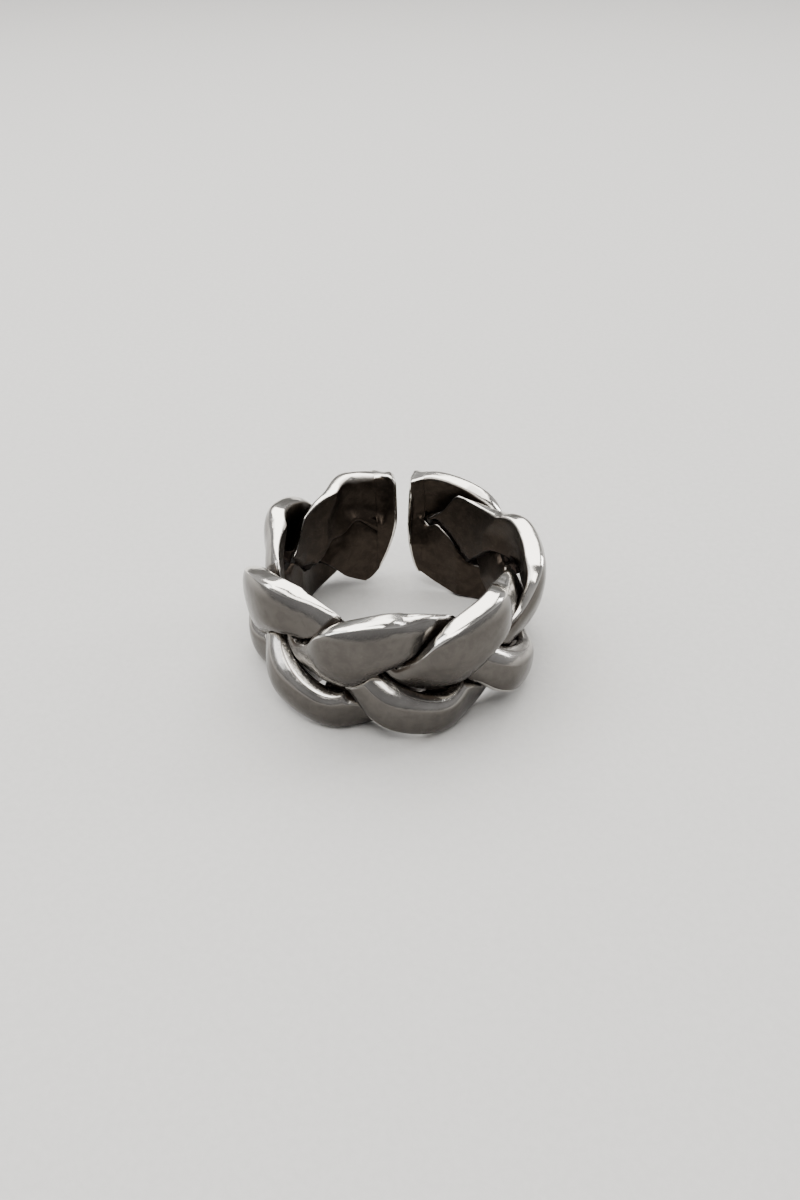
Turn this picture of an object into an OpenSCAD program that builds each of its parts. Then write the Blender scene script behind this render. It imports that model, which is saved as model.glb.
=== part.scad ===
// Open ring plaited from three flat strands, with a solid end on each side of the gap at the back.
// Millimetres. Z runs up the finger's axis, the ring lies on its side on the floor at z = 0,
// and the gap is at the back, on +Y. Ring angles start at the front (-Y) and grow towards +X.

/* [Band] */
// radius of the finger hole
bore_r = 8.65; // [8.4:0.05:8.9]
// height of the middle of the plait above the floor
mid_z = 5.1; // [5.1:0.05:5.4]
// how far a strand's centre line swings up and down from the middle
swing = 2.85; // [2.75:0.05:2.9]

/* [Strand] */
// half the width of a strand
half_w = 2.25; // [2.15:0.05:2.3]
// thickness of a strand at its edge
edge_t = 0.62; // [0.55:0.01:0.7]
// thickness of a strand at its middle
crown_t = 1.4; // [1.3:0.05:1.45]
// how much thicker the upper edge of a strand is where it lies in the outer layer
lip = 0.65; // [0.55:0.05:0.7]
// how much farther out the outer layer lies than the inner one
lift = 1.66; // [1.6:0.02:1.75]
// how far an edge twists in or out where the strand crosses the middle
roll = 0.8; // [0.6:0.05:0.9]
// space left between two strands that lie on each other
seam = 0.15; // [0.14:0.01:0.18]

/* [Ends] */
// ring angle of the gap side of the left end
left_gap = -182.4; // [-182.6:0.1:-182]
// ring angle of the gap side of the right end
right_gap = 172.9; // [172:0.1:173]
// outer radius of the solid ends
end_r = 11.4; // [11.2:0.1:11.6]

/* [Hidden] */
$fn = 96;
silver = [0.72, 0.70, 0.67];
rings = 114;
top_points = 15;
low_points = 7;
face_r = bore_r + 0.01;
base_r = bore_r - 0.15;
// least thickness that a seam leaves on either side, and least thickness anywhere
thin = 0.4;
thin_edge = 0.2;
// how far the change of layer lags behind the weave angle, and how sharp it is
late = 6;
flip = 1.3;
// how fast a seam gives way past the edge of the other strand, and where the two have parted
steep = 1.6;
free = 4;
left_join = -171;
right_join = 164.5;
join_gap = 0.3;
slope = 0.7;
rim_z = mid_z + 5.25;

// weave of each strand: [ring angle, weave angle]; 0 is at the top edge, 90 crossing down,
// 180 at the bottom edge, 270 crossing up
weave = [
  [[-230, -180], [-191, -90], [-150, 0], [-114, 90], [-77, 180], [-36, 270], [3, 360],
   [41, 450], [79, 540], [121, 630], [170, 720], [212, 810]],
  [[-224, -270], [-184, -180], [-145, -90], [-108, 0], [-64, 90], [-20, 180], [9, 270],
   [53, 360], [94, 450], [134, 540], [172, 630], [210, 720]],
  [[-209, -360], [-168, -270], [-130, -180], [-90, -90], [-49, 0], [-13, 90], [28, 180],
   [67, 270], [114, 360], [157, 450], [190, 540], [228, 630]]
];

// weave angle of strand k at ring angle a: a smooth curve through the table
function row_at(t, a, i = 0) = (i >= len(t) - 2 || a < t[i + 1][0]) ? i : row_at(t, a, i + 1);
function rate(t, i) = (i == 0 || i == len(t) - 1) ? 90 / 40
  : (t[i + 1][1] - t[i - 1][1]) / (t[i + 1][0] - t[i - 1][0]);
function blend(t, i, f, d) =
  t[i][1] * (1 + 2 * f) * pow(1 - f, 2) + rate(t, i) * d * f * pow(1 - f, 2)
  + t[i + 1][1] * f * f * (3 - 2 * f) - rate(t, i + 1) * d * f * f * (1 - f);
function weave_at(k, a) =
  let (t = weave[k], i = row_at(t, a), d = t[i + 1][0] - t[i][0], f = (a - t[i][0]) / d)
  blend(t, i, f, d);

// 1 from weave angle b to c, fading smoothly to 0 at a and at d
function turned(d) = d - 360 * floor((d + 180) / 360);
function fade(x) = 0.5 - 0.5 * cos(180 * max(0, min(1, x)));
function between(w, a, b, c, d) =
  let (m = (a + d) / 2, t = turned(w - m) + m)
  fade((t - a) / (b - a)) * fade((d - t) / (d - c));
function tanh_of(x) = let (e = exp(2 * x)) (e - 1) / (e + 1);

// 1 where the strand is in the outer layer, 0 in the inner one
function outward(w) =
  let (v = w - late * pow(sin(w), 4))
  0.5 - 0.5 * tanh_of(flip * sin(2 * v)) / tanh_of(flip);

// lowest height left free by the rounded lower corners of the two ends
function left_foot(a) = mid_z + 1.7
  - 6.1 * pow(max(0, 1 - pow(max(0, left_gap + 17.2 - a) / 17.2, 1.5)), 1 / 1.5);
function right_foot(a) = mid_z + 1
  - 5.5 * sqrt(max(0, 1 - pow(max(0, a - right_gap + 12.9) / 12.9, 2)));
function foot(a) = (a < 0 ? left_foot(a) : right_foot(a)) - 0.12 * max(0, min(a + 165, 160 - a));

// how near ring angle a is to the left end and to the right end, from 0 to 1
function near_left(a, from, over) = fade((-from - a) / over);
function near_right(a, from, over) = fade((a - from) / over);

// half widths of strand k above and below its middle, before the slant of the strand widens them
function above(k, w, a) = half_w - 1.2 * between(w, 58, 84, 160, 222)
  + 0.55 * between(w, 192, 214, 228, 246) - 0.8 * between(w, 234, 250, 264, 286)
  + 0.5 * between(w, 268, 298, 340, 368) - 0.12 * between(w, 352, 378, 395, 430)
  + (k == 1 ? near_left(a, 149, 13) : 0)
  + (k == 2 ? near_right(a, 122, 34) - near_left(a, 148, 10) : 0);
function below(k, w, a) = half_w - 0.75 * between(w, -50, -12, 22, 55)
  + 0.6 * between(w, 8, 34, 48, 62) - 0.5 * between(w, 50, 64, 80, 100)
  - 0.4 * between(w, 250, 276, 286, 314)
  + (k == 0 ? 0.8 * near_left(a, 130, 9) - 1.7 * near_left(a, 149, 13) : 0);

// a strand at a ring angle: [weave angle, middle height, half width above, half width below, layer,
// twist, extra thickness of its upper edge]
function strand_at(k, a) =
  let (w = weave_at(k, a), z = mid_z + swing * cos(w), tilt = sqrt(1 + pow(slope * sin(w), 2)),
       merge = k == 0 ? near_left(a, 142, 18) : 0)
  [w, z, tilt * above(k, w, a), min(tilt * below(k, w, a), z - foot(a)),
   outward(w) * (1 - 0.5 * merge), roll * pow(sin(w), 4) * sign(sin(w)) - 0.9 * merge,
   lip * between(w, 278, 305, 366, 410)];
function height(s, u) = s[1] + u * (u > 0 ? s[2] : s[3]);
function share(s, z) =
  let (d = z - s[1])
  max(-1, min(1, d > 0 ? d / s[2] : d / s[3]));
function beyond(s, z) = max(z - s[1] - s[2], s[1] - s[3] - z);

// inside and outside radius of a strand at share u of its half width
function core(s, u) = base_r + lift * s[4] - s[5] * u;
function inner(s, u) = core(s, u) - s[6] * fade((u + 0.1) / 1.1);
function dome(u) = edge_t + (crown_t - edge_t) * pow(max(0, 1 - pow(abs(u), 2.6)), 0.8);
function outer(s, u) = core(s, u) + dome(u);

// radius of the seam between strand o and the strand s that it lies over, at height z, and how far
// the seam gives way where the two strands have parted
function seam_r(o, s, z) =
  let (lo = inner(s, share(s, z)) + thin, hi = outer(o, share(o, z)) - thin)
  max(lo, min(hi, (inner(o, share(o, z)) + outer(s, share(s, z))) / 2));
function parted(o, s) = free * max(0, s[4] - o[4] - 0.5);

// outside radius of strand s under strand o, and inside radius of strand s over strand t;
// each strand lies over the next but one and under the next, all the way round
function top_r(s, o, u) =
  let (z = height(s, u))
  min(outer(s, u), seam_r(o, s, z) - seam / 2 + parted(o, s) + steep * max(0, beyond(o, z) - 0.1));
function low_r(s, t, u) =
  let (z = height(s, u))
  max(face_r, inner(s, u),
    seam_r(s, t, z) + seam / 2 - parted(s, t) - steep * max(0, beyond(t, z) - 0.3));

function spread(i, n) = let (f = -cos(180 * i / (n - 1))) f * (0.72 + 0.28 * f * f);
function at(a, r, z) = [r * sin(a), -r * cos(a), z];
function ring_of(k, a) =
  let (s = strand_at(k, a), o = strand_at((k + 1) % 3, a), t = strand_at((k + 2) % 3, a))
  concat(
    [for (i = [0 : top_points - 1])
      let (u = spread(i, top_points), r = max(top_r(s, o, u), low_r(s, t, u) + thin_edge))
      at(a, r, height(s, u))],
    [for (i = [low_points - 1 : -1 : 0])
      let (u = 2 * i / (low_points - 1) - 1)
      at(a, low_r(s, t, u), height(s, u))]);

// triangles that close a section, between its outside and inside points
function under(i) = top_points + low_points - 1 - round(i * (low_points - 1) / (top_points - 1));
function end_faces() =
  [for (i = [0 : top_points - 2])
    each concat([[i, i + 1, under(i)]],
      under(i + 1) == under(i) ? [] : [[i + 1, under(i + 1), under(i)]])];

module strand(k) {
  per = top_points + low_points;
  from = left_join + join_gap;
  to = right_join - join_gap;
  points = [for (j = [0 : rings - 1]) each ring_of(k, from + (to - from) * j / (rings - 1))];
  sides = [for (j = [0 : rings - 2], i = [0 : per - 1])
    let (p = j * per + i, q = j * per + (i + 1) % per)
    each [[p, q, q + per], [p, q + per, p + per]]];
  cap = end_faces();
  first = [for (t = cap) [t[2], t[1], t[0]]];
  last = [for (t = cap) [for (v = t) v + (rings - 1) * per]];
  color(silver)
    polyhedron(points = points, faces = concat(sides, first, last), convexity = 8);
}

// section of a solid end, [radius, height]: upright inner face that leans out near the top,
// rounded outside
function end_section(r) = concat(
  [[bore_r, mid_z - 5], [bore_r, mid_z + 1], [bore_r + 0.25, mid_z + 3], [bore_r + 0.75, rim_z]],
  [for (i = [0 : 12])
    let (b = 90 - 15 * i)
    [r - 0.8 * (1 - pow(max(0, cos(b)), 0.7)), mid_z + 0.1 + 5.1 * sin(b)]]);

// outline of a solid end seen along the radius, [distance from the join, height]
function left_outline(n) = concat(
  [for (i = [0 : n]) let (x = 1.71 * i / n) [x, left_foot(left_join - 11.4 * i / n)]],
  [for (i = [0 : 4]) let (b = 22.5 * i) [1.71 - 0.8 + 0.8 * cos(b), rim_z - 0.8 + 0.8 * sin(b)]],
  [[0, rim_z]]);
function right_outline(n) = concat(
  [for (i = [0 : n]) let (x = 1.24 * i / n) [x, right_foot(right_join + 8.4 * i / n)]],
  [for (i = [0 : 2]) let (b = 45 * i) [1.24 - 0.3 + 0.3 * cos(b), rim_z - 0.3 + 0.3 * sin(b)]],
  [[0, rim_z]]);

// a solid end: the section swept round past the join, trimmed to its outline
module solid_end(join, side, r, outline) {
  color(silver)
    rotate([0, 0, join - 90])
      intersection() {
        rotate([0, 0, side > 0 ? -1 : -21])
          rotate_extrude(angle = 22)
            polygon(end_section(r));
        rotate([90, 0, 90])
          linear_extrude(height = 14)
            scale([side, 1])
              polygon(outline);
      }
}

module strand_a() {
  strand(0);
}

module strand_b() {
  strand(1);
}

module strand_c() {
  strand(2);
}

module end_left() {
  solid_end(left_join, -1, end_r - 0.3, left_outline(10));
}

module end_right() {
  solid_end(right_join, 1, end_r, right_outline(10));
}

strand_a();
strand_b();
strand_c();
end_left();
end_right();
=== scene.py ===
"""Looks for the open plaited ring: fine meshes of its three strands and two solid ends, worn cast silver,
a plain pale floor and soft studio light. Sizes of the ring are in millimetres and angles in degrees, and
every mesh, light and camera is in metres."""
import math

import bpy
import numpy as np
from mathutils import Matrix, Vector


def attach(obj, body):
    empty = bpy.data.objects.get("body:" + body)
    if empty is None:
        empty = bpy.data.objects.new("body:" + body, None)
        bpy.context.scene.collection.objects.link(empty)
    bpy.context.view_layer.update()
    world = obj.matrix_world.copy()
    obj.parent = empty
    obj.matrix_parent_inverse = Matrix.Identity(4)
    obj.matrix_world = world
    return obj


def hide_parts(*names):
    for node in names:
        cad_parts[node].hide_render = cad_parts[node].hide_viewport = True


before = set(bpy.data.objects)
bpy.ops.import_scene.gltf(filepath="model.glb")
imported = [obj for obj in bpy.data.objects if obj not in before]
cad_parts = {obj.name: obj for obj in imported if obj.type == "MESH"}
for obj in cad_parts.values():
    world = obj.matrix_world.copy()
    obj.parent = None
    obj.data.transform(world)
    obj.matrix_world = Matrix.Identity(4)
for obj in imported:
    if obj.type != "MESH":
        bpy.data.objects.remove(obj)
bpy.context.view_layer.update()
MM = 0.001

# band and strand sizes, as in the part's source
BORE_R = 8.65
MID_Z = 5.1
SWING = 2.85
HALF_W = 2.25
EDGE_T = 0.62
CROWN_T = 1.4
LIP = 0.65
LIFT = 1.66
ROLL = 0.8
LEFT_GAP = -182.4
RIGHT_GAP = 172.9
END_R = 11.4
FACE_R = BORE_R + 0.01
BASE_R = BORE_R - 0.15
RIM_Z = MID_Z + 5.25
LEFT_JOIN = -171.0
RIGHT_JOIN = 164.5
SLOPE = 0.7

# least thickness that a seam leaves on either side, and least thickness anywhere
THIN = 0.4
LEAST = 0.2

# how far the change of layer lags behind the weave angle, and how sharp it is
LATE = 6.0
FLIP = 1.3

# space between two strands, narrower than in the part's source, and how fast it widens past the edge of
# the other strand and where the two have parted
SEAM = 0.06
STEEP = 2.0
FREE = 4.0

# radius of the rounded edges of a strand, where across the strand its edge thickness is taken, and how
# many degrees a strand reaches into an end
EDGE_ROUND = 0.17
EDGE_U = 0.97
INTO_END = 0.3

# inside and outside radius of a groove where no strand reaches, how fast the radius changes past a
# strand's edge, and how softly the strands run into each other in the ends
GROOVE_LOW_R = 10.0
GROOVE_TOP_R = 9.6
GROOVE_FALL = 2.2
GROOVE_SOFT = 0.2

# web of metal in the openings between the strands: its heights, how far behind the inner faces its two
# sides lie, and the farthest inner face that it follows
WEB_LOW = 3.1
WEB_TOP = 6.8
WEB_FRONT = 0.24
WEB_BACK = 0.42
WEB_R = 9.5

# solid ends: length from the join to the gap side, outer radius of the left one, radius of their top and
# bottom edges, height of the finely stepped top, and how far they start inside the join
LEFT_LENGTH = 1.71
RIGHT_LENGTH = 1.24
LEFT_END_R = END_R - 0.3
END_ROUND = 0.2
END_CROWN = 0.3
END_START = -0.04

# outer face of the ends: half its height, and how far it falls in at its top and bottom
END_HALF = 5.1
END_FALL = 0.8

# radius of the inner face of the ends at four heights
FACE_HEIGHTS = [MID_Z - 6, MID_Z + 1, MID_Z + 3, RIM_Z]
FACE_RADII = [BORE_R, BORE_R, BORE_R + 0.25, BORE_R + 0.75]

# radius at which distances along an end are turned into ring angles
TURN_R = 10.5

# weave of each strand: ring angle, weave angle; 0 is at the top edge, 180 at the bottom edge
WEAVE = [
    np.array([[-230, -180], [-191, -90], [-150, 0], [-114, 90], [-77, 180], [-36, 270], [3, 360],
              [41, 450], [79, 540], [121, 630], [170, 720], [212, 810]], float),
    np.array([[-224, -270], [-184, -180], [-145, -90], [-108, 0], [-64, 90], [-20, 180], [9, 270],
              [53, 360], [94, 450], [134, 540], [172, 630], [210, 720]], float),
    np.array([[-209, -360], [-168, -270], [-130, -180], [-90, -90], [-49, 0], [-13, 90], [28, 180],
              [67, 270], [114, 360], [157, 450], [190, 540], [228, 630]], float),
]

# where a strand is wider or narrower above and below its middle: the change, and the weave angles at which
# it begins, is full, begins to fade and is gone
ABOVE_CHANGES = [
    (-1.2, 58, 84, 160, 222),
    (0.6, 192, 214, 228, 246),
    (-0.5, 234, 250, 264, 286),
    (0.5, 268, 298, 340, 368),
    (-0.12, 352, 378, 395, 430),
]
BELOW_CHANGES = [
    (-0.75, -50, -12, 22, 55),
    (0.75, 8, 34, 48, 62),
    (-0.25, 50, 64, 80, 100),
    (-0.4, 250, 276, 286, 314),
]

# weave angles between which the thicker upper edge grows, is full, fades and is gone
LIP_SPAN = (278, 305, 366, 410)

# colours of the silver: two shades of faces that look up, painted lighter as if lit; two of upright
# faces, painted darker as shade; bare edges, worn and painted bright as highlight; the tarnished brown
# that also paints shade in the grooves; and the near-black painted shade of the web
LIT_TOP = ((0.40, 0.38, 0.355, 1), (0.50, 0.48, 0.45, 1))
UPRIGHT = ((0.082, 0.076, 0.070, 1), (0.106, 0.099, 0.092, 1))
BARE_AND_HIGHLIGHT = (0.80, 0.77, 0.715, 1)
TARNISH_AND_SHADE = (0.036, 0.028, 0.022, 1)
WEB_SHADE = (0.008, 0.006, 0.005, 1)

# noise in the silver, in waves per metre: broad unevenness, clouds of tarnish, grain and pits
BROAD = 420
CLOUD = 1300
GRAIN = 9500
PITS = 5200

# depth of the silver's relief in metres: unevenness, pits, grain, and scratches along and across
BROAD_DEPTH = 0.00009
PIT_DEPTH = -0.000012
GRAIN_DEPTH = 0.000012
LONG_DEPTH = -0.0000006
CROSS_DEPTH = -0.0000005

# floor: half its width and depth, and the radius of the curve behind it
FLOOR_HALF = 0.9
FLOOR_CURVE = 0.5

# strength of the world's light from the horizon down and overhead
LOW_GLOW = 0.55
TOP_GLOW = 0.2

# softboxes: name, place, size, power and tint; all of them face the middle of the ring
RING_MIDDLE = (0, 0, 0.005)
SOFTBOXES = [
    ("softbox_above", (-0.02, 0.15, 0.30), (0.46, 0.34), 3.0, (1.0, 0.98, 0.94)),
    ("softbox_front", (-0.05, -0.12, 0.30), (0.38, 0.12), 1.0, (1.0, 0.98, 0.94)),
    ("softbox_left", (-0.34, 0.0, 0.25), (0.20, 0.22), 0.7, (0.97, 0.985, 1.0)),
    ("softbox_right", (0.34, 0.14, 0.20), (0.08, 0.20), 0.6, (1.0, 1.0, 1.0)),
]

CAMERA_PLACE = (0.0, -0.07395, 0.05972)
CAMERA_AIM = (0.000469, -0.000116, 0.004843)
CAMERA_LENS = 52.99


def weave_at(k, a):
    """Weave angle of strand k at ring angle a: a smooth curve through the table."""
    knots, values = WEAVE[k].T
    i = np.clip(np.searchsorted(knots, a, side="right") - 1, 0, len(knots) - 2)
    rate = np.full(len(knots), 90 / 40)
    rate[1:-1] = (values[2:] - values[:-2]) / (knots[2:] - knots[:-2])
    d = knots[i + 1] - knots[i]
    f = (a - knots[i]) / d
    start = values[i] * (1 + 2 * f) * (1 - f) ** 2 + rate[i] * d * f * (1 - f) ** 2
    end = values[i + 1] * f * f * (3 - 2 * f) - rate[i + 1] * d * f * f * (1 - f)
    return start + end


def sin_of(w):
    return np.sin(np.radians(w))


def cos_of(w):
    return np.cos(np.radians(w))


def unit(x):
    """x kept between 0 and 1."""
    return np.clip(x, 0, 1)


def fade(x):
    """Smooth step from 0 at x = 0 to 1 at x = 1."""
    return 0.5 - 0.5 * np.cos(np.pi * unit(x))


def between(w, a, b, c, d):
    """1 from weave angle b to c, fading smoothly to 0 at a and at d."""
    m = (a + d) / 2
    t = (w - m + 180) % 360 - 180 + m
    return fade((t - a) / (b - a)) * fade((d - t) / (d - c))


def outward(w):
    """1 where the strand is in the outer layer, 0 in the inner one."""
    v = w - LATE * sin_of(w) ** 4
    return 0.5 - 0.5 * np.tanh(FLIP * sin_of(2 * v)) / np.tanh(FLIP)


def rounded_foot(share, top, fall, power):
    """Height of an end's lower corner, which falls from top above the plait's middle. share is 1 at the
    gap and 0 where the corner has come down."""
    return MID_Z + top - fall * (1 - unit(share) ** power) ** (1 / power)


def left_foot(a):
    return rounded_foot((LEFT_GAP + 17.2 - a) / 17.2, 1.7, 6.1, 1.5)


def right_foot(a):
    return rounded_foot((a - RIGHT_GAP + 12.9) / 12.9, 1, 5.5, 2)


def foot(a):
    """Lowest height left free by the rounded lower corners of the two ends. Past their reach it falls by
    0.12 mm a degree, so that it no longer cuts any strand."""
    corner = np.where(a < 0, left_foot(a), right_foot(a))
    return corner - 0.12 * np.maximum(0, np.minimum(a + 165, 160 - a))


def near_left(a, start, over):
    """0 before ring angle -start, 1 from over degrees nearer to the left end."""
    return fade((-start - a) / over)


def near_right(a, start, over):
    """0 before ring angle start, 1 from over degrees nearer to the right end."""
    return fade((a - start) / over)


def half_above(k, w, a):
    """Half width of strand k above its middle, before its slant widens it."""
    half = HALF_W
    for change, *span in ABOVE_CHANGES:
        half = half + change * between(w, *span)
    if k == 1:
        half = half + near_left(a, 149, 13)
    if k == 2:
        half = half + near_right(a, 122, 34) - near_left(a, 148, 10)
    return half


def half_below(k, w, a):
    """Half width of strand k below its middle, before its slant widens it."""
    half = HALF_W
    for change, *span in BELOW_CHANGES:
        half = half + change * between(w, *span)
    if k == 0:
        half = half + 0.8 * near_left(a, 130, 9) - 1.7 * near_left(a, 149, 13)
    return half


class Strand:
    """Strand k at an array of ring angles: middle height, half widths above and below, layer, twist, and
    how much thicker its upper edge is. Near the left end strand 0 lies deeper and leans out at the top."""

    def __init__(self, k, a):
        k = k % 3
        w = weave_at(k, a)
        tilt = np.sqrt(1 + (SLOPE * sin_of(w)) ** 2)
        merge = near_left(a, 142, 18) * (k == 0)
        self.z = MID_Z + SWING * cos_of(w)
        self.above = tilt * half_above(k, w, a)
        self.below = np.minimum(tilt * half_below(k, w, a), self.z - foot(a))
        self.out = outward(w) * (1 - 0.5 * merge)
        self.twist = ROLL * sin_of(w) ** 4 * np.sign(sin_of(w)) - 0.9 * merge
        self.lip = LIP * between(w, *LIP_SPAN)

    def height(self, u):
        return self.z + u * np.where(u > 0, self.above, self.below)

    def share(self, z):
        d = z - self.z
        return np.clip(np.where(d > 0, d / self.above, d / self.below), -1, 1)

    def beyond(self, z):
        return np.maximum(z - self.z - self.above, self.z - self.below - z)

    def core(self, u):
        return BASE_R + LIFT * self.out - self.twist * u

    def inner(self, u):
        return self.core(u) - self.lip * fade((u + 0.1) / 1.1)

    def outer(self, u):
        dome = (CROWN_T - EDGE_T) * np.maximum(0, 1 - np.abs(u) ** 2.6) ** 0.8
        return self.core(u) + EDGE_T + dome


def soft_min(a, b, k=0.12):
    """The smaller of a and b, rounded where they differ by less than k."""
    h = unit(0.5 + 0.5 * (b - a) / k)
    return b * (1 - h) + a * h - k * h * (1 - h)


def soft_max(a, b, k=0.12):
    """The larger of a and b, rounded where they differ by less than k."""
    return -soft_min(-a, -b, k)


def seam_r(o, s, z):
    """Radius of the seam between strand o and the strand s that it lies over, at height z."""
    low = s.inner(s.share(z)) + THIN
    high = o.outer(o.share(z)) - THIN
    middle = (o.inner(o.share(z)) + s.outer(s.share(z))) / 2
    return np.maximum(low, np.minimum(high, middle))


def parted(o, s):
    """How far a seam widens where its two strands have changed layers."""
    return FREE * np.maximum(0, s.out - o.out - 0.5)


def top_r(s, o, u):
    """Outside radius of strand s, which strand o lies over, with a narrow hollow along o's edge."""
    z = s.height(u)
    past = o.beyond(z)
    under = seam_r(o, s, z) - SEAM / 2 + parted(o, s) + STEEP * np.maximum(0, past - 0.1)
    return soft_min(s.outer(u), under)


def low_r(s, t, u):
    """Inside radius of strand s, which lies over strand t."""
    z = s.height(u)
    over = seam_r(s, t, z) + SEAM / 2 - parted(s, t) - STEEP * np.maximum(0, t.beyond(z) - 0.3)
    return np.maximum(FACE_R, soft_max(s.inner(u), over))


def spread(n):
    """n shares from -1 to 1, closer together towards both edges."""
    f = -np.cos(np.pi * np.arange(n) / (n - 1))
    return f * (0.72 + 0.28 * f * f)


def rounded_loop(side_u, side_v, top, low, arc=6, wall=3):
    """Closed section with rounded corners: arrays of u (-1 to 1 across) and v (0 inside, 1 outside),
    and how near each point is to a corner. side_u and side_v are the corner's size in u and in v."""
    bend = np.radians(np.linspace(0, 90, arc))
    across = spread(top)
    back = spread(low)[::-1]
    rise = np.linspace(0, 1, wall + 2)[1:-1]
    u, v, near = [], [], []

    def add(pu, pv, pn):
        u.append(pu)
        v.append(pv)
        near.append(pn)

    for x in across[1:-1]:
        add(x * (1 - side_u), 1 + 0 * side_v, 0.0)
    for b in bend:
        add(1 - side_u + side_u * math.sin(b), 1 - side_v + side_v * math.cos(b), 1.0)
    for x in rise:
        add(1 + 0 * side_u, 1 - side_v + (2 * side_v - 1) * x, 0.5)
    for b in bend[::-1]:
        add(1 - side_u + side_u * math.sin(b), side_v - side_v * math.cos(b), 0.7)
    for x in back[1:-1]:
        add(x * (1 - side_u), 0 * side_v, 0.0)
    for b in bend:
        add(-1 + side_u - side_u * math.sin(b), side_v - side_v * math.cos(b), 0.7)
    for x in rise:
        add(-1 + 0 * side_u, side_v + (1 - 2 * side_v) * x, 0.5)
    for b in bend[::-1]:
        add(-1 + side_u - side_u * math.sin(b), 1 - side_v + side_v * math.cos(b), 1.0)
    return np.stack(u, axis=-1), np.stack(v, axis=-1), np.array(near)


def end_loop(reach, thick, ease=0.22, arc=8):
    """Closed section of a solid end at one height: x from the join to reach, v from 0 inside to 1 outside,
    and how near each point is to a rounded edge on the gap side. ease is the radius of those edges."""
    ease_x = np.minimum(ease, 0.45 * reach)
    ease_v = np.minimum(ease / thick, 0.45)
    bend = np.radians(np.linspace(0, 90, arc))
    x, v, near = [], [], []

    def add(px, pv, pn):
        x.append(px)
        v.append(pv)
        near.append(pn)

    for f in np.linspace(0, 1, 22)[:-1]:
        add(END_START + f * (reach - ease_x - END_START), 1 + 0 * thick, 0.0)
    for b in bend:
        add(reach - ease_x * (1 - math.sin(b)), 1 - ease_v * (1 - math.cos(b)), 1.0)
    for f in np.linspace(0, 1, 10)[1:-1]:
        add(reach, 1 - ease_v + f * (2 * ease_v - 1), 0.2)
    for b in bend[::-1]:
        add(reach - ease_x * (1 - math.sin(b)), ease_v * (1 - math.cos(b)), 0.9)
    for f in np.linspace(1, 0, 18)[1:]:
        add(END_START + f * (reach - ease_x - END_START), 0 * thick, 0.0)
    return np.stack(x, axis=-1), np.stack(v, axis=-1), np.array(near)


def make_piece(name, points, sharp=(), **marks):
    """Mesh of a sweep: points is rings by section by 3, in millimetres, with one float mark per point.
    The steps of the section listed in sharp are flat faces with sharp edges."""
    rings, per = points.shape[:2]
    j, i = np.meshgrid(np.arange(rings - 1), np.arange(per), indexing="ij")
    a = j * per + i
    b = j * per + (i + 1) % per
    faces = np.stack([a, a + per, b + per, b], axis=-1).reshape(-1, 4).tolist()
    verts = (points.reshape(-1, 3) * MM).tolist()
    last = (rings - 1) * per
    for i in range(per // 2 - 1):
        cap = [i, i + 1, per - 2 - i, per - 1 - i]
        faces.append(cap)
        faces.append([last + n for n in cap[::-1]])
    mesh = bpy.data.meshes.new(name)
    mesh.from_pydata(verts, [], faces)
    for mark, values in marks.items():
        layer = mesh.attributes.new(mark, "FLOAT", "POINT")
        layer.data.foreach_set("value", values.reshape(-1).astype(np.float32))
    along = np.zeros((rings, per))
    step = np.linalg.norm(np.diff(points, axis=0), axis=2).mean(axis=1)
    along[1:] = np.cumsum(step)[:, None]
    around = np.zeros((rings, per))
    around[:, 1:] = np.cumsum(np.linalg.norm(np.diff(points, axis=1), axis=2), axis=1)
    way = mesh.attributes.new("way", "FLOAT_VECTOR", "POINT")
    flat = np.stack([along, around, 0 * along], axis=-1).reshape(-1)
    way.data.foreach_set("vector", flat.astype(np.float32))
    smooth = np.ones((rings - 1, per), bool)
    smooth[:, list(sharp)] = False
    mesh.polygons.foreach_set("use_smooth", smooth.reshape(-1).tolist() + [True] * (per - 2))
    mesh.update()
    # upward is the height of each point's normal: the silver paints faces lighter on top and darker as
    # shade where they turn sideways and down
    normals = np.zeros(len(mesh.vertices) * 3, np.float32)
    mesh.vertex_normals.foreach_get("vector", normals)
    upward = mesh.attributes.new("upward", "FLOAT", "POINT")
    upward.data.foreach_set("value", normals[2::3].copy())
    piece = bpy.data.objects.new(name, mesh)
    bpy.context.scene.collection.objects.link(piece)
    return piece


def high_mark(r):
    """How far a point at radius r stands out, from 0 to 1: what stands out is worn more."""
    return unit((r - 10.1) / 1.1)


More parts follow.
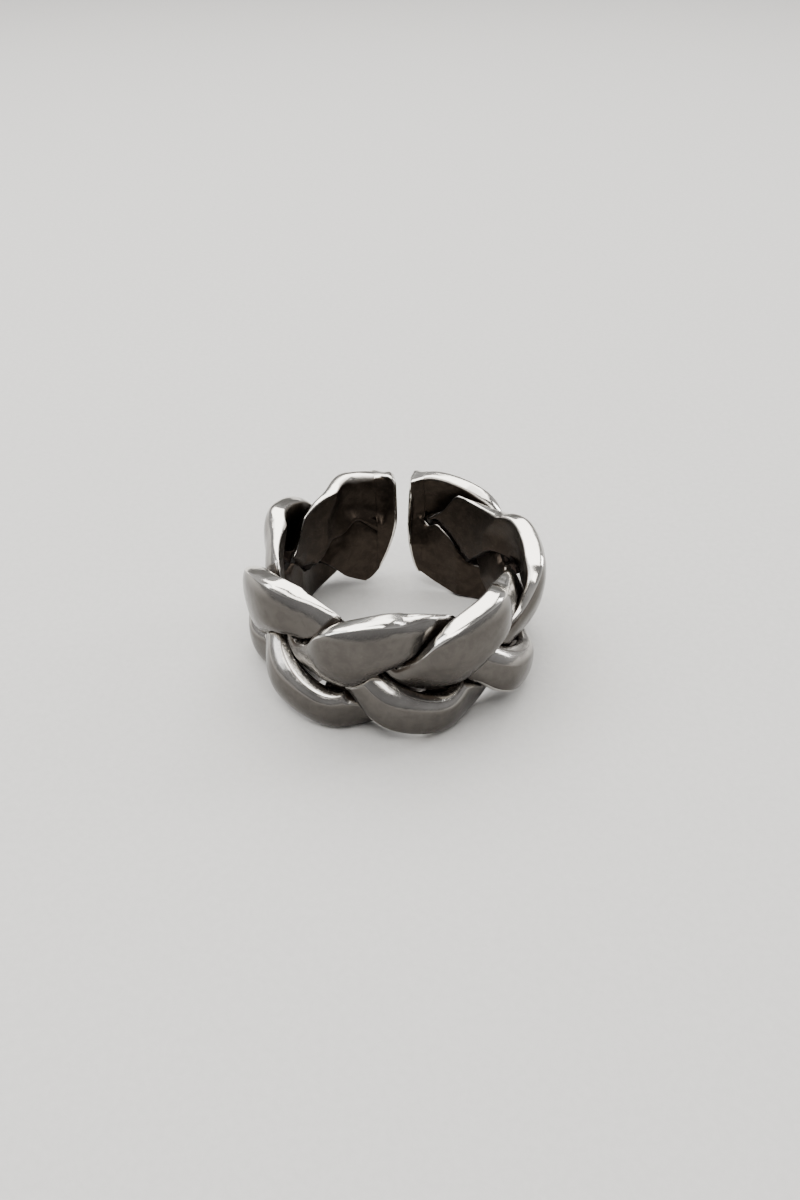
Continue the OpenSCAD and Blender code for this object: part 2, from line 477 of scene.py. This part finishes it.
def strand_piece(name, k, rings=700):
    """A fine mesh of strand k with rounded edges, marked where it is tarnished and painted with shade, and
    where it is worn and painted with highlight.
    """
    a = np.linspace(LEFT_JOIN - INTO_END, RIGHT_JOIN + INTO_END, rings)[:, None]
    s, o, t = (Strand(n, a) for n in (k, k + 1, k + 2))
    edge_top = np.minimum(top_r(s, o, EDGE_U), top_r(s, o, -EDGE_U))
    edge_low = np.maximum(low_r(s, t, EDGE_U), low_r(s, t, -EDGE_U))
    half = np.minimum(s.above, s.below)[:, 0]
    side_u = np.clip(EDGE_ROUND / np.maximum(half, 0.1), 0, 0.3)
    side_v = np.clip(EDGE_ROUND / np.maximum((edge_top - edge_low)[:, 0], LEAST), 0.1, 0.48)
    u, v, near = rounded_loop(side_u, side_v, top=42, low=20)
    z = s.height(u)
    low = low_r(s, t, u)
    top = np.maximum(top_r(s, o, u), low + LEAST)
    r = low + v * (top - low)
    points = np.stack([r * sin_of(a), -r * cos_of(a), z], axis=-1)

    # tarnished brown and painted shade where the strand is cut back or lies close under its neighbour, and
    # on its lower wall
    cut = unit((s.outer(u) - top - 0.03) / 0.25)
    close = unit(1 - o.beyond(z) / 0.5) * unit((o.outer(o.share(z)) - r) / 0.5)
    wall = unit((1 - v) * 1.3) * 0.9 * (u < -EDGE_U)
    shade = np.maximum(np.maximum(cut, 0.8 * close) * v, wall)

    # painted shade darkens the upper edge where it lies low in the plait, except beside the right end on
    # strand 1, and a painted highlight makes it bare and bright where nothing covers it
    deep = unit((MID_Z + 2.6 - z) / 1.5) * (1 - near_right(a, 118, 12) * (k == 1))
    shade = np.maximum(shade, 0.85 * deep * fade((u - 0.72) / 0.16))
    bare = unit(np.minimum(o.beyond(z), t.beyond(z)) / 0.3)
    painted_rim_highlight = bare * (u > 0.985) * (1 - deep)

    # rounded edges are worn, but less near the inside, in the grooves and within three degrees of a join;
    # the bright upper edges add a painted highlight to these worn edges
    clear = unit(np.minimum(a - LEFT_JOIN, RIGHT_JOIN - a) / 3)
    wear = np.maximum(near[None, :] * clear * (0.4 + 0.6 * high_mark(r)) * (1 - cut), painted_rim_highlight)
    # inside darkens the inner faces with tarnished brown and painted shade, but not the upper edges
    # painted bright
    inside = unit(1 - v * 4) * (1 - painted_rim_highlight)
    return make_piece(name, points, shade=shade, inside=inside, wear=wear)


def plait_skin(a, z):
    """Inside and outside radius of the whole plait at ring angle a and height z, grooves softened."""
    shape = np.broadcast_shapes(np.shape(a), np.shape(z))
    low = np.full(shape, GROOVE_LOW_R)
    top = np.full(shape, GROOVE_TOP_R)
    for k in range(3):
        s = Strand(k, a)
        gone = GROOVE_FALL * np.maximum(0, s.beyond(z))
        top = soft_max(top, s.outer(s.share(z)) - gone, GROOVE_SOFT)
        low = soft_min(low, s.inner(s.share(z)) + gone, GROOVE_SOFT)
    return np.maximum(low, FACE_R), top


def web_piece(name, rings=600, rows=34):
    """The thin web of metal in the small openings between the strands, just behind their inner faces; its
    near-black colour is painted shade in those deep openings.
    """
    a = np.linspace(LEFT_JOIN, RIGHT_JOIN, rings)[:, None]
    z = np.concatenate([np.linspace(WEB_LOW, WEB_TOP, rows), np.linspace(WEB_TOP, WEB_LOW, rows)])[None, :]
    back = np.concatenate([np.full(rows, WEB_BACK), np.full(rows, WEB_FRONT)])[None, :]
    r = np.minimum(plait_skin(a, z)[0], WEB_R) + back
    points = np.stack([r * sin_of(a), -r * cos_of(a), z + 0 * a], axis=-1)
    full = np.ones_like(r)
    return make_piece(name, points, shade=full, inside=0.3 * full, wear=0 * full)


def section_in(z):
    """Radius of the inner face of an end at height z."""
    return np.interp(z, FACE_HEIGHTS, FACE_RADII)


def section_out(z, end_r):
    """Radius of the outer face of an end at height z, rounded in towards its top and bottom."""
    up = np.clip((z - MID_Z - 0.1) / END_HALF, -1, 1)
    return end_r - END_FALL * (1 - np.maximum(0, 1 - up * up) ** 0.35)


def end_piece(name, join, side, end_r, length, low_at, corner, hold):
    """A solid end, swept up from its foot: the plait's own shape at the join calms down towards the gap.
    side is -1 for the left end and 1 for the right one, low_at is the height of the foot by distance from
    the join, and corner the radius of the upper corner at the gap. hold is the share of the length over
    which the inner face keeps the plait's shape."""
    foot_x = length * np.sin(np.linspace(0, 1, 400) * np.pi / 2)
    foot_z = low_at(foot_x)
    joined = [Strand(k, np.array([float(join)])) for k in range(3)]
    tip = max(foot_z[0], min(float((n.z - n.below)[0]) for n in joined)) + 0.01
    neck = RIM_Z - END_CROWN
    body = tip + (neck - tip) * (1 - np.cos(np.linspace(0, 1, 120) * np.pi / 2))
    crown = neck + END_CROWN * np.sin(np.radians(np.linspace(4, 90, 16)))
    z = np.concatenate([body, crown])
    past = np.maximum(0, z - (RIM_Z - corner))
    reach = np.interp(z, foot_z, foot_x) - corner + np.sqrt(np.maximum(0, corner ** 2 - past ** 2))
    reach = np.maximum(reach, 0.01)
    over = np.maximum(np.maximum(0, z - (RIM_Z - END_ROUND)), np.maximum(0, tip + END_ROUND - z))
    inset = (END_ROUND - np.sqrt(np.maximum(0, END_ROUND ** 2 - over ** 2)))[:, None]
    x, v, near = end_loop(reach, section_out(z, end_r) - section_in(z))

    z = z[:, None]
    a = join + side * np.degrees(np.maximum(x, 0) / TURN_R)
    calm = fade(x / (length * 0.85))
    calm_in = fade((x / length - hold) / (1 - hold))
    rise = max(float((n.z + n.above)[0]) for n in joined) - RIM_Z
    lifted = z + rise * (1 - calm) * fade((z - MID_Z) / (RIM_Z - MID_Z))
    plait_in, plait_out = plait_skin(a, lifted)
    out = plait_out * (1 - calm) + section_out(z, end_r) * calm - inset
    inner = plait_in * (1 - calm_in) + section_in(z) * calm_in + inset
    r = inner + v * (out - inner)

    straight = np.sqrt(np.maximum(0, r * r - x * x))
    direction = np.array([sin_of(join), -cos_of(join)])
    tangent = side * np.array([cos_of(join), sin_of(join)])
    flat_x = straight * direction[0] + x * tangent[0]
    flat_y = straight * direction[1] + x * tangent[1]
    points = np.stack([flat_x, flat_y, lifted], axis=-1)

    edge = np.maximum(near[None, :] * np.ones_like(r), unit(inset / 0.05))
    # shade is tarnished brown and painted shade where the outer face sinks in, inside darkens the inner
    # face with both, and the edge mark brightens the rounded edges and top edges as worn metal and painted
    # highlight
    marks = {
        "shade": unit(section_out(z, end_r) - 0.35 - r) * v,
        "inside": unit(1 - v * 4) * (1 - edge),
        "wear": edge * (0.8 + 0.2 * high_mark(r)),
    }
    if side > 0:
        points = points[:, ::-1]
        marks = {mark: values[:, ::-1] for mark, values in marks.items()}
    return make_piece(name, points, [points.shape[1] - 1], **marks)


class Nodes:
    """Small helper to build a material's nodes."""

    def __init__(self, name):
        self.material = bpy.data.materials.new(name)
        self.material.use_nodes = True
        self.tree = self.material.node_tree
        self.shader = self.tree.nodes["Principled BSDF"]

    def link(self, value, socket):
        if isinstance(value, bpy.types.NodeSocket):
            self.tree.links.new(value, socket)
        else:
            socket.default_value = value

    def attribute(self, name, out="Fac"):
        node = self.tree.nodes.new("ShaderNodeAttribute")
        node.attribute_name = name
        return node.outputs[out]

    def place(self):
        return self.tree.nodes.new("ShaderNodeTexCoord").outputs["Object"]

    def stretched(self, vector, scale, turn=0.0):
        node = self.tree.nodes.new("ShaderNodeMapping")
        self.link(vector, node.inputs["Vector"])
        node.inputs["Scale"].default_value = scale
        node.inputs["Rotation"].default_value = (0, 0, turn)
        return node.outputs["Vector"]

    def noise(self, vector, scale, detail=3.0, rough=0.5, bend=0.0):
        node = self.tree.nodes.new("ShaderNodeTexNoise")
        self.link(vector, node.inputs["Vector"])
        node.inputs["Scale"].default_value = scale
        node.inputs["Detail"].default_value = detail
        node.inputs["Roughness"].default_value = rough
        node.inputs["Distortion"].default_value = bend
        return node.outputs["Fac"]

    def ramp(self, value, low, high, start=0.0, end=1.0):
        node = self.tree.nodes.new("ShaderNodeMapRange")
        node.interpolation_type = "SMOOTHSTEP"
        self.link(value, node.inputs["Value"])
        node.inputs["From Min"].default_value = low
        node.inputs["From Max"].default_value = high
        node.inputs["To Min"].default_value = start
        node.inputs["To Max"].default_value = end
        return node.outputs["Result"]

    def math(self, kind, a, b=0.0):
        node = self.tree.nodes.new("ShaderNodeMath")
        node.operation = kind
        self.link(a, node.inputs[0])
        self.link(b, node.inputs[1])
        return node.outputs[0]

    def add(self, value, other, times=1.0):
        """value plus other, which may be scaled first."""
        return self.math("ADD", value, other if times == 1.0 else self.math("MULTIPLY", other, times))

    def mix(self, share, a, b):
        node = self.tree.nodes.new("ShaderNodeMix")
        node.data_type = "RGBA"
        self.link(share, node.inputs[0])
        self.link(a, node.inputs[6])
        self.link(b, node.inputs[7])
        return node.outputs[2]

    def bump(self, height, depth, under=None):
        node = self.tree.nodes.new("ShaderNodeBump")
        node.inputs["Strength"].default_value = 1.0
        node.inputs["Distance"].default_value = depth
        self.link(height, node.inputs["Height"])
        if under is not None:
            self.tree.links.new(under, node.inputs["Normal"])
        return node.outputs["Normal"]


def silver_material(name, shift, groove):
    """Worn cast silver with painted light and shade: upper faces painted lighter as if lit, upright faces
    painted grey and lower faces painted dark brown as shade, bare edges worn and painted bright as
    highlight, and tarnished brown with painted shade in the grooves and inside. groove is the colour of
    the darkest tarnished and shaded parts."""
    n = Nodes(name)
    place = n.place()
    way = n.attribute("way", "Vector")
    broad = n.noise(place, BROAD + shift, 2.0, 0.5)
    cloud = n.noise(place, CLOUD, 4.0, 0.6, 0.4)
    grain = n.noise(place, GRAIN, 3.0, 0.65)
    pits = n.noise(place, PITS + shift, 2.0, 0.5)
    scratch_long = n.noise(n.stretched(way, (0.9, 16.0, 1.0), 0.12), 1.0, 2.0, 0.6)
    scratch_cross = n.noise(n.stretched(way, (14.0, 1.3, 1.0), 0.5), 1.0, 2.0, 0.6)
    shade = n.attribute("shade")
    inside = n.attribute("inside")
    wear = n.attribute("wear")
    upward = n.attribute("upward")

    # dark is the share of tarnished brown and painted shade: more in the grooves, in clouds, inside and on
    # faces turned down, less on worn edges
    dark = n.add(n.ramp(shade, 0.25, 0.95), n.ramp(cloud, 0.4, 0.75), 0.16)
    dark = n.add(dark, inside)
    dark = n.add(dark, n.ramp(upward, -0.8, 0.15, 0.85, 0.0))
    dark = n.math("SUBTRACT", dark, n.math("MULTIPLY", wear, 0.9))
    dark = n.math("MINIMUM", n.math("MAXIMUM", dark, 0.0), 1.0)
    # painted light and shade: faces that look up take the lighter silver, upright ones the darker
    painted_facing_tone = n.mix(n.ramp(broad, 0.35, 0.65), *LIT_TOP)
    upright = n.mix(n.ramp(cloud, 0.35, 0.65), *UPRIGHT)
    painted_facing_tone = n.mix(n.ramp(upward, 0.2, 0.75), upright, painted_facing_tone)
    bright = n.mix(n.ramp(wear, 0.2, 0.8), painted_facing_tone, BARE_AND_HIGHLIGHT)
    pale_groove = tuple(1.6 * c for c in groove[:3]) + (1,)
    tarnish_and_shade = n.mix(n.ramp(cloud, 0.35, 0.7), groove, pale_groove)
    n.link(n.mix(dark, bright, tarnish_and_shade), n.shader.inputs["Base Color"])

    rough = n.add(n.ramp(cloud, 0.3, 0.7, 0.12, 0.19), dark, 0.16)
    rough = n.add(rough, n.ramp(scratch_long, 0.5, 0.7, 0.0, 0.06))
    rough = n.add(rough, inside, 0.1)
    rough = n.math("SUBTRACT", rough, n.math("MULTIPLY", wear, 0.05))
    n.link(rough, n.shader.inputs["Roughness"])
    n.shader.inputs["Metallic"].default_value = 1.0

    pitted = n.math("MULTIPLY", n.ramp(pits, 0.62, 0.72), n.add(dark, 0.1))
    grainy = n.math("MULTIPLY", grain, n.add(0.08, dark, 1.2))
    surface = n.bump(broad, BROAD_DEPTH)
    surface = n.bump(pitted, PIT_DEPTH, surface)
    surface = n.bump(grainy, GRAIN_DEPTH, surface)
    surface = n.bump(n.ramp(scratch_long, 0.55, 0.62), LONG_DEPTH, surface)
    surface = n.bump(n.ramp(scratch_cross, 0.6, 0.66), CROSS_DEPTH, surface)
    n.link(surface, n.shader.inputs["Normal"])
    return n.material


def floor_material():
    """Pale matt paper with a faint grain."""
    n = Nodes("floor_paper")
    place = n.place()
    fine = n.noise(place, 1800, 4.0, 0.6)
    wide = n.noise(place, 14, 2.0, 0.5)
    pale = n.mix(n.ramp(fine, 0.3, 0.7), (0.52, 0.515, 0.505, 1), (0.56, 0.555, 0.545, 1))
    paper = n.mix(n.ramp(wide, 0.3, 0.7, 0.0, 0.3), pale, (0.54, 0.53, 0.52, 1))
    n.link(paper, n.shader.inputs["Base Color"])
    n.link(n.ramp(fine, 0.3, 0.7, 0.75, 0.85), n.shader.inputs["Roughness"])
    n.link(n.bump(fine, 0.00002), n.shader.inputs["Normal"])
    return n.material


def add_floor():
    """A wide pale sheet that curves up far behind the ring."""
    level = np.linspace(-FLOOR_HALF, FLOOR_HALF, 37)
    turn = np.radians(np.arange(7.5, 91, 7.5))
    run = np.concatenate([level, FLOOR_HALF + FLOOR_CURVE * np.sin(turn)])
    rise = np.concatenate([np.zeros(len(level)), FLOOR_CURVE * (1 - np.cos(turn))])
    cross = np.linspace(-FLOOR_HALF, FLOOR_HALF, 19)
    verts = [(x, y, z) for y, z in zip(run, rise) for x in cross]
    wide = len(cross)
    faces = [(j * wide + i, j * wide + i + 1, (j + 1) * wide + i + 1, (j + 1) * wide + i)
             for j in range(len(run) - 1) for i in range(wide - 1)]
    mesh = bpy.data.meshes.new("floor")
    mesh.from_pydata(verts, [], faces)
    mesh.polygons.foreach_set("use_smooth", [True] * len(mesh.polygons))
    mesh.materials.append(floor_material())
    floor = bpy.data.objects.new("floor", mesh)
    bpy.context.scene.collection.objects.link(floor)


def turn_towards(thing, place, aim):
    """Put a light or camera at place, looking at aim."""
    thing.location = place
    thing.rotation_euler = (Vector(aim) - Vector(place)).to_track_quat("-Z", "Y").to_euler()
    bpy.context.scene.collection.objects.link(thing)


def add_softbox(name, place, size, power, tint):
    """A soft rectangular light that faces the ring."""
    lamp = bpy.data.lights.new(name, "AREA")
    lamp.shape = "RECTANGLE"
    lamp.size, lamp.size_y = size
    lamp.energy = power
    lamp.color = tint
    turn_towards(bpy.data.objects.new(name, lamp), place, RING_MIDDLE)


def add_camera():
    """Camera at the photograph's angle: 36.6 degrees above the ring's middle, 92 mm away."""
    lens = bpy.data.cameras.new("camera")
    lens.sensor_fit = "HORIZONTAL"
    lens.sensor_width = 36.0
    lens.lens = CAMERA_LENS
    lens.clip_start = 0.002
    lens.clip_end = 10.0
    camera = bpy.data.objects.new("camera", lens)
    turn_towards(camera, CAMERA_PLACE, CAMERA_AIM)
    bpy.context.scene.camera = camera


def add_studio():
    """Soft light: a world that is brightest from the horizon down, and four softboxes."""
    world = bpy.data.worlds.new("studio")
    world.use_nodes = True
    tree = world.node_tree
    parts = tree.nodes.new("ShaderNodeSeparateXYZ")
    glow = tree.nodes.new("ShaderNodeMapRange")
    glow.interpolation_type = "SMOOTHSTEP"
    glow.inputs["From Min"].default_value = 0.15
    glow.inputs["From Max"].default_value = 0.85
    glow.inputs["To Min"].default_value = LOW_GLOW
    glow.inputs["To Max"].default_value = TOP_GLOW
    tree.links.new(tree.nodes.new("ShaderNodeTexCoord").outputs["Generated"], parts.inputs["Vector"])
    tree.links.new(parts.outputs["Z"], glow.inputs["Value"])
    tree.links.new(glow.outputs["Result"], tree.nodes["Background"].inputs["Strength"])
    tree.nodes["Background"].inputs["Color"].default_value = (0.98, 0.98, 1.0, 1)
    bpy.context.scene.world = world
    for softbox in SOFTBOXES:
        add_softbox(*softbox)


def left_low(x):
    """Height of the left end's foot at distance x from its join."""
    return left_foot(LEFT_JOIN - (LEFT_JOIN - LEFT_GAP) * x / LEFT_LENGTH)


def right_low(x):
    """Height of the right end's foot at distance x from its join."""
    return right_foot(RIGHT_JOIN + (RIGHT_GAP - RIGHT_JOIN) * x / RIGHT_LENGTH)


add_camera()
add_floor()
add_studio()

PIECES = [
    (strand_piece("plait_strand_a", 0), "strand_a"),
    (strand_piece("plait_strand_b", 1), "strand_b"),
    (strand_piece("plait_strand_c", 2), "strand_c"),
    (end_piece("solid_end_left", LEFT_JOIN, -1, LEFT_END_R, LEFT_LENGTH, left_low, 0.8, 0.0), "end_left"),
    (end_piece("solid_end_right", RIGHT_JOIN, 1, END_R, RIGHT_LENGTH, right_low, 0.3, 0.7), "end_right"),
    (web_piece("groove_web"), None),
]
for number, (piece, node) in enumerate(PIECES):
    groove = TARNISH_AND_SHADE if node else WEB_SHADE
    piece.data.materials.append(silver_material("silver_" + piece.name, 17 * number, groove))
    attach(piece, "root")
    if node:
        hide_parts(node)
